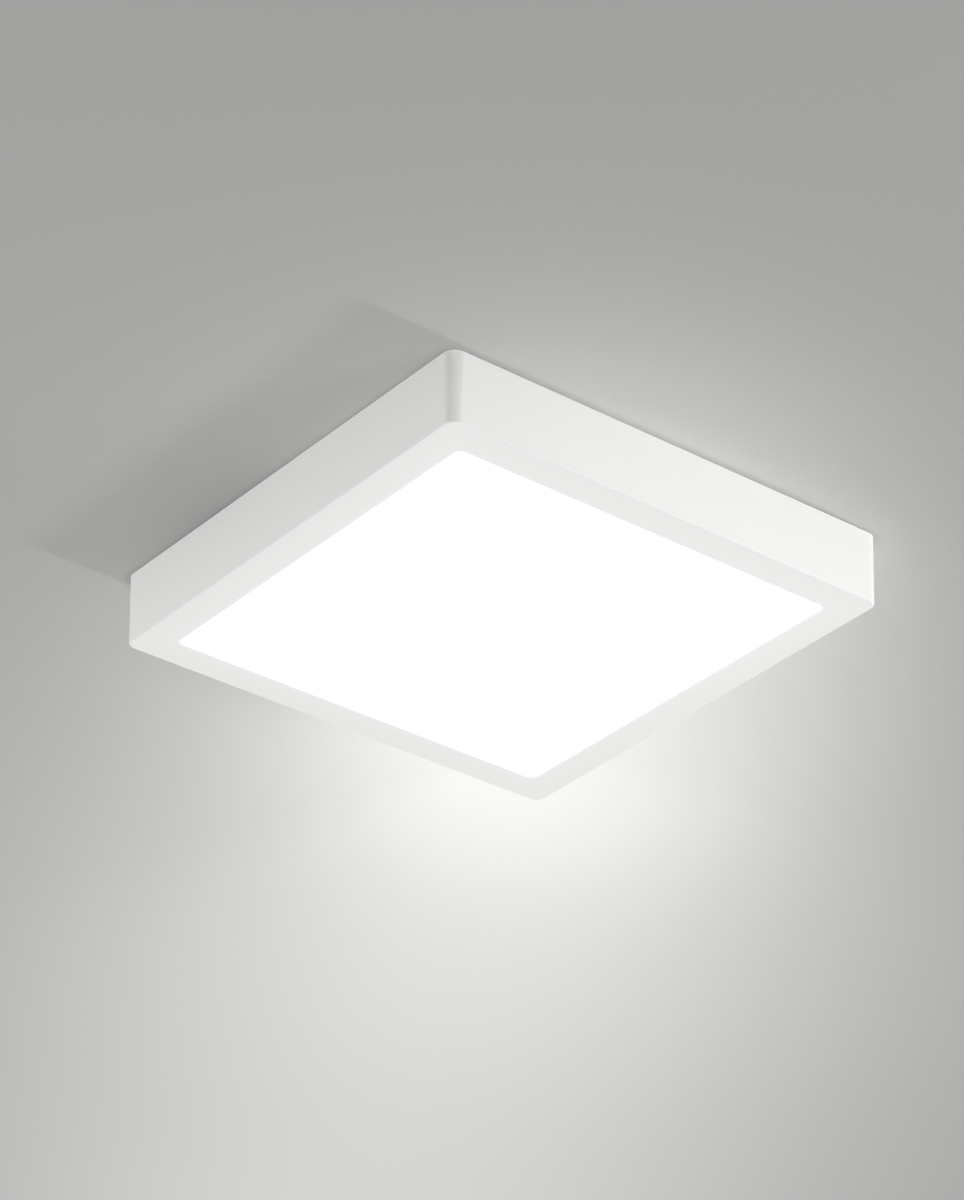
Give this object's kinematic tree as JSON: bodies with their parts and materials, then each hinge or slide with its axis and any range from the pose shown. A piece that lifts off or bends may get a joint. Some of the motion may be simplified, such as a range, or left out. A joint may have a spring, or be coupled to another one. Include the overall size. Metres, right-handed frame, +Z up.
{
  "type": "outdoor ceiling light",
  "caption": "Square outdoor LED ceiling light: a white die-cast frame with a flush opal diffuser, held by leaf springs on a sealed ceiling pan with LED boards and a lever terminal.",
  "frame": {"origin": "middle of the ceiling plane, where the foam gasket's top lies", "axes": "+Z points up into the ceiling, +X and +Y run along the sides, and the supply entries face +Y"},
  "size_m": [0.3, 0.3, 0.044],
  "materials": {
    "frame_white": "white powder coat, satin",
    "opal": "opal acrylic, satin",
    "pan_white": "white painted sheet",
    "spring_steel": "bright stainless sheet",
    "screw_steel": "zinc plated",
    "seal_rubber": "black rubber",
    "foam_grey": "closed-cell foam",
    "silicone_white": "pale silicone",
    "board_white": "white solder mask on an aluminium core",
    "led_yellow": "phosphor in a pale package",
    "connector_white": "moulded nylon",
    "driver_white": "moulded polycarbonate",
    "terminal_grey": "moulded polyamide",
    "lever_grey": "moulded polyamide",
    "copper": "tinned copper",
    "wire_brown": "brown insulation",
    "wire_blue": "blue insulation",
    "wire_green": "green and yellow insulation",
    "lead_white": "white twin insulation"
  },
  "bodies": {
    "base": {"ceiling_gasket": "foam_grey", "base_pan": "pan_white", "screw_seals": "seal_rubber", "cable_grommet": "seal_rubber", "catch_plates": "spring_steel", "rim_seal": "silicone_white", "board_links": "connector_white", "led_plug": "connector_white", "board_screws": "screw_steel", "driver_base": "driver_white", "driver_lid": "driver_white", "driver_screws": "screw_steel", "terminal_block": "terminal_grey", "terminal_contacts": "copper", "terminal_screws": "screw_steel", "earth_tab": "screw_steel", "earth_receptacle": "copper", "live_wire": "wire_brown", "neutral_wire": "wire_blue", "earth_wire": "wire_green", "led_lead": "lead_white", "wire_clips": "connector_white", "led_board_north": "board_white", "led_chips_north": "led_yellow", "led_board_west": "board_white", "led_chips_west": "led_yellow", "led_board_south": "board_white", "led_chips_south": "led_yellow", "led_board_east": "board_white", "led_chips_east": "led_yellow"},
    "cover": {"cover_frame": "frame_white", "diffuser": "opal", "diffuser_gasket": "silicone_white", "diffuser_clips": "spring_steel", "diffuser_clip_screws": "screw_steel", "spring_clips": "spring_steel", "spring_clip_rivets": "screw_steel"},
    "lever_live": {"lever_live": "lever_grey"},
    "lever_neutral": {"lever_neutral": "lever_grey"},
    "lever_earth": {"lever_earth": "lever_grey"}
  },
  "joints": [
    {"name": "cover_pull", "type": "slide", "parent": "base", "child": "cover", "axis": [0, 0, -1], "range_m": [0, 0.09], "deforming": ["spring_clips"]},
    {"name": "lever_live_turn", "type": "hinge", "parent": "base", "child": "lever_live", "pos_m": [-0.008, -0.048, -0.017], "axis": [-1, 0, 0], "range_deg": [0, 85]},
    {"name": "lever_neutral_turn", "type": "hinge", "parent": "base", "child": "lever_neutral", "pos_m": [0, -0.048, -0.017], "axis": [-1, 0, 0], "range_deg": [0, 85]},
    {"name": "lever_earth_turn", "type": "hinge", "parent": "base", "child": "lever_earth", "pos_m": [0.008, -0.048, -0.017], "axis": [-1, 0, 0], "range_deg": [0, 85]}
  ]
}
